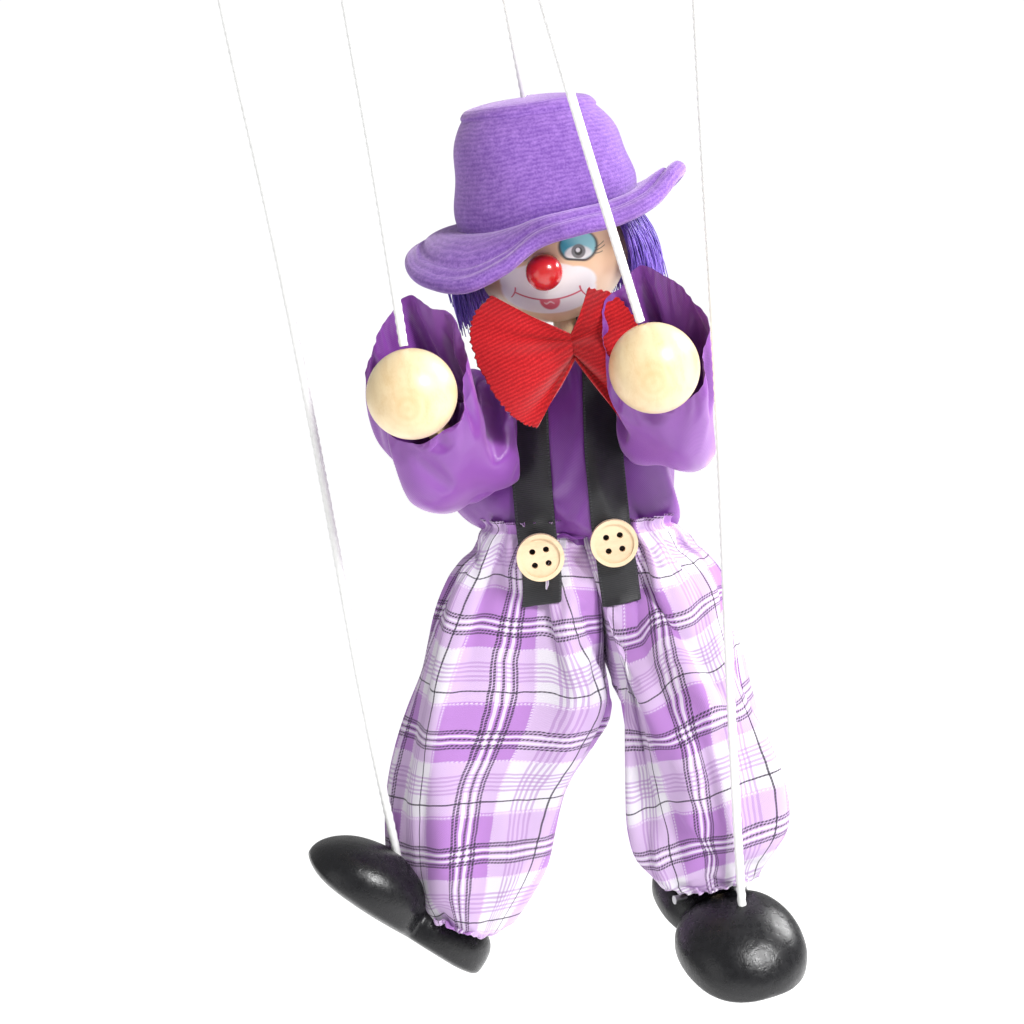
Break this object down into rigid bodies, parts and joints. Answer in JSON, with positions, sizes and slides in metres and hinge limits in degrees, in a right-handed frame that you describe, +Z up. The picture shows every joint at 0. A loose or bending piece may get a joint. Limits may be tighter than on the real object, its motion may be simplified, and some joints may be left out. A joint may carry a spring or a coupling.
{
  "type": "marionette puppet",
  "caption": "Clown string puppet: ball head with felt hat, satin shirt, plaid trousers, ball hands and wooden shoes, hung on cords from a wooden control.",
  "frame": {"origin": "top face of the control spine, on the vertical line of the head string, where the hand grips it", "axes": "+Z up, -Y the way the puppet faces, +X the puppet's left"},
  "size_m": [0.1647, 0.1026, 0.3657],
  "materials": {
    "control_wood": "sanded, plain",
    "steel": "plain wire",
    "white_cord": "braided cord",
    "limb_wood": "sanded, plain",
    "purple_satin": "satin, glossy",
    "plaid_cloth": "woven plaid cotton",
    "black_ribbon": "satin ribbon",
    "pale_wood": "turned, waxed",
    "red_felt": "ribbed felt",
    "face_paint": "painted",
    "red_bead": "gloss",
    "purple_felt": "brushed felt",
    "violet_fibre": "straight fibre",
    "black_lacquer": "gloss black paint"
  },
  "bodies": {
    "control_and_torso": {"control_spine": "control_wood", "foot_bar": "control_wood", "hand_bar": "control_wood", "control_brads": "steel", "string_head": "white_cord", "knot_head": "white_cord", "torso_block": "limb_wood", "neck_pin": "steel", "shoulder_pins": "steel", "hip_pins": "steel", "shirt_body": "purple_satin", "trouser_seat": "plaid_cloth", "strap_right": "black_ribbon", "strap_left": "black_ribbon", "button_right": "pale_wood", "button_left": "pale_wood", "bow_tie": "red_felt"},
    "head": {"head_ball": "face_paint", "nose": "red_bead", "neck_peg": "limb_wood", "hat": "purple_felt", "hair": "violet_fibre"},
    "upper_arm_right": {"upper_arm_right": "limb_wood", "elbow_pin_right": "steel", "upper_sleeve_right": "purple_satin"},
    "forearm_right": {"forearm_right": "limb_wood", "hand_right": "pale_wood", "lower_sleeve_right": "purple_satin"},
    "hand_string_right": {"string_hand_right": "white_cord", "knot_hand_right": "white_cord"},
    "thigh_right": {"thigh_right": "limb_wood", "knee_pin_right": "steel", "trouser_thigh_right": "plaid_cloth"},
    "shin_right": {"shin_right": "limb_wood", "ankle_pin_right": "steel", "trouser_shin_right": "plaid_cloth"},
    "shoe_right": {"shoe_right": "black_lacquer"},
    "foot_string_right": {"string_foot_right": "white_cord", "knot_foot_right": "white_cord"},
    "upper_arm_left": {"upper_arm_left": "limb_wood", "elbow_pin_left": "steel", "upper_sleeve_left": "purple_satin"},
    "forearm_left": {"forearm_left": "limb_wood", "hand_left": "pale_wood", "lower_sleeve_left": "purple_satin"},
    "hand_string_left": {"string_hand_left": "white_cord", "knot_hand_left": "white_cord"},
    "thigh_left": {"thigh_left": "limb_wood", "knee_pin_left": "steel", "trouser_thigh_left": "plaid_cloth"},
    "shin_left": {"shin_left": "limb_wood", "ankle_pin_left": "steel", "trouser_shin_left": "plaid_cloth"},
    "shoe_left": {"shoe_left": "black_lacquer"},
    "foot_string_left": {"string_foot_left": "white_cord", "knot_foot_left": "white_cord"}
  },
  "joints": [
    {"name": "head_turn", "type": "hinge", "parent": "control_and_torso", "child": "head", "pos_m": [0, 0, -0.15], "axis": [0, 0, 1], "range_deg": [-35, 35]},
    {"name": "arm_lift_right", "type": "hinge", "parent": "control_and_torso", "child": "upper_arm_right", "pos_m": [-0.029, -0.002, -0.188], "axis": [-0.9484, 0.3171, 0.006], "range_deg": [0, 40]},
    {"name": "elbow_right", "type": "hinge", "parent": "upper_arm_right", "child": "forearm_right", "pos_m": [-0.03385, -0.01612, -0.20805], "axis": [-0.9484, 0.3171, 0.006], "range_deg": [-30.01, 0]},
    {"name": "hand_string_swing_right", "type": "hinge", "parent": "forearm_right", "child": "hand_string_right", "pos_m": [-0.04467, -0.04925, -0.16703], "axis": [-0.9484, 0.3171, 0.006], "range_deg": [-8.39, 0]},
    {"name": "leg_lift_right", "type": "hinge", "parent": "control_and_torso", "child": "thigh_right", "pos_m": [-0.016, -0.003, -0.243], "axis": [-0.151, 0.9868, -0.058], "range_deg": [0, 32]},
    {"name": "knee_right", "type": "hinge", "parent": "thigh_right", "child": "shin_right", "pos_m": [-0.04874, -0.01019, -0.2801], "axis": [-0.151, 0.9868, -0.058], "range_deg": [-24.01, 0]},
    {"name": "ankle_right", "type": "hinge", "parent": "shin_right", "child": "shoe_right", "pos_m": [-0.06788, -0.01582, -0.32595], "axis": [-0.151, 0.9868, -0.058], "range_deg": [0, 8.01]},
    {"name": "foot_string_swing_right", "type": "hinge", "parent": "shoe_right", "child": "foot_string_right", "pos_m": [-0.07447, -0.01582, -0.30899], "axis": [-0.151, 0.9868, -0.058], "range_deg": [-12.46, 0]},
    {"name": "arm_lift_left", "type": "hinge", "parent": "control_and_torso", "child": "upper_arm_left", "pos_m": [0.023, -0.002, -0.188], "axis": [-0.991, 0.081, -0.107], "range_deg": [0, 40]},
    {"name": "elbow_left", "type": "hinge", "parent": "upper_arm_left", "child": "forearm_left", "pos_m": [0.02457, -0.01258, -0.2106], "axis": [-0.991, 0.081, -0.107], "range_deg": [-30.01, 0]},
    {"name": "hand_string_swing_left", "type": "hinge", "parent": "forearm_left", "child": "hand_string_left", "pos_m": [0.01738, -0.05045, -0.17258], "axis": [-0.991, 0.081, -0.107], "range_deg": [-8.09, 0]},
    {"name": "leg_lift_left", "type": "hinge", "parent": "control_and_torso", "child": "thigh_left", "pos_m": [0.004, -0.003, -0.243], "axis": [-0.9042, -0.4111, 0.116], "range_deg": [0, 32]},
    {"name": "knee_left", "type": "hinge", "parent": "thigh_left", "child": "shin_left", "pos_m": [0.01367, -0.03477, -0.28038], "axis": [-0.9042, -0.4111, 0.116], "range_deg": [-24.01, 0]},
    {"name": "ankle_left", "type": "hinge", "parent": "shin_left", "child": "shoe_left", "pos_m": [0.00791, -0.03608, -0.33003], "axis": [-0.9042, -0.4111, 0.116], "range_deg": [0, 8.01]},
    {"name": "foot_string_swing_left", "type": "hinge", "parent": "shoe_left", "child": "foot_string_left", "pos_m": [0.01495, -0.05221, -0.33232], "axis": [-0.9042, -0.4111, 0.116], "range_deg": [-11.95, 0]}
  ],
  "couplings": [
    {"joint": "elbow_right", "follows": "arm_lift_right", "ratio": -0.75},
    {"joint": "hand_string_swing_right", "follows": "arm_lift_right", "ratio": -0.2095},
    {"joint": "knee_right", "follows": "leg_lift_right", "ratio": -0.75},
    {"joint": "ankle_right", "follows": "leg_lift_right", "ratio": 0.25},
    {"joint": "foot_string_swing_right", "follows": "leg_lift_right", "ratio": -0.389},
    {"joint": "elbow_left", "follows": "arm_lift_left", "ratio": -0.75},
    {"joint": "hand_string_swing_left", "follows": "arm_lift_left", "ratio": -0.202},
    {"joint": "knee_left", "follows": "leg_lift_left", "ratio": -0.75},
    {"joint": "ankle_left", "follows": "leg_lift_left", "ratio": 0.25},
    {"joint": "foot_string_swing_left", "follows": "leg_lift_left", "ratio": -0.373}
  ]
}
